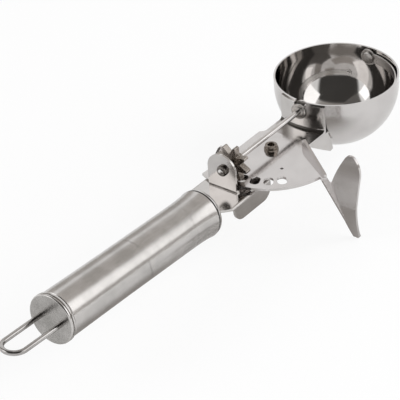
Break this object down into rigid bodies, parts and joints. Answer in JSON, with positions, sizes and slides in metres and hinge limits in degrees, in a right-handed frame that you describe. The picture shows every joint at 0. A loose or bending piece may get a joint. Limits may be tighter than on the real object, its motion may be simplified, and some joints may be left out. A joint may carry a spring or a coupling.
{
  "type": "lever ice cream scoop",
  "caption": "Lever ice cream scoop: squeezing the thumb lever turns a pinion that runs in the lever's windows, and its shaft sweeps a scraper round the steel bowl to free the ball.",
  "frame": {"origin": "centre of the bowl's rim, in the plane of the rim", "axes": "+X runs along the scraper shaft from the handle to the bowl, +Z points out of the bowl's mouth, +Y is the side away from the thumb lever"},
  "size_m": [0.253, 0.0772, 0.0454],
  "materials": {
    "bowl_satin": "satin outside, polished inside",
    "sheet_steel": "smooth rolled sheet, near mirror on the flanges",
    "bright_steel": "polished",
    "handle_brushed": "fine brushed, bright along its top",
    "cap_brushed": "turned satin face",
    "spring_wire": "drawn wire",
    "pinion_steel": "stamped, slightly darker",
    "core_plastic": "moulded, hidden inside the handle"
  },
  "bodies": {
    "frame": {"bowl": "bowl_satin", "shaft_bush": "bright_steel", "far_pivot_rivet": "bright_steel", "far_pivot_washer": "bright_steel", "bearing_bracket": "sheet_steel", "shank": "sheet_steel", "lever_rivet": "bright_steel", "lever_washer": "bright_steel", "return_spring": "spring_wire", "spring_cup_washer": "bright_steel", "handle_tube": "handle_brushed", "front_cap": "handle_brushed", "rear_cap": "cap_brushed", "hanging_loop": "bright_steel", "loop_keeper": "sheet_steel", "handle_core": "core_plastic", "tang_pin": "bright_steel"},
    "lever": {"thumb_lever": "sheet_steel"},
    "scraper": {"scraper_band": "bright_steel", "scraper_shaft": "bright_steel", "shaft_push_nut": "bright_steel", "pinion": "pinion_steel", "pinion_collar": "pinion_steel", "pinion_spacer": "pinion_steel"}
  },
  "joints": [
    {"name": "lever_pivot", "type": "hinge", "parent": "frame", "child": "lever", "pos_m": [-0.052, -0.001, -0.0121], "axis": [0, 0, -1], "range_deg": [0, 48], "stiffness_Nm_per_rad": 0.12, "springref_deg": -34.38, "deforming": ["return_spring"]},
    {"name": "scraper_turn", "type": "hinge", "parent": "frame", "child": "scraper", "pos_m": [-0.052, 0, -0.0044], "axis": [1, 0, 0], "range_deg": [0, 166.5]}
  ],
  "couplings": [
    {"joint": "scraper_turn", "follows": "lever_pivot", "ratio": 3.4615}
  ]
}
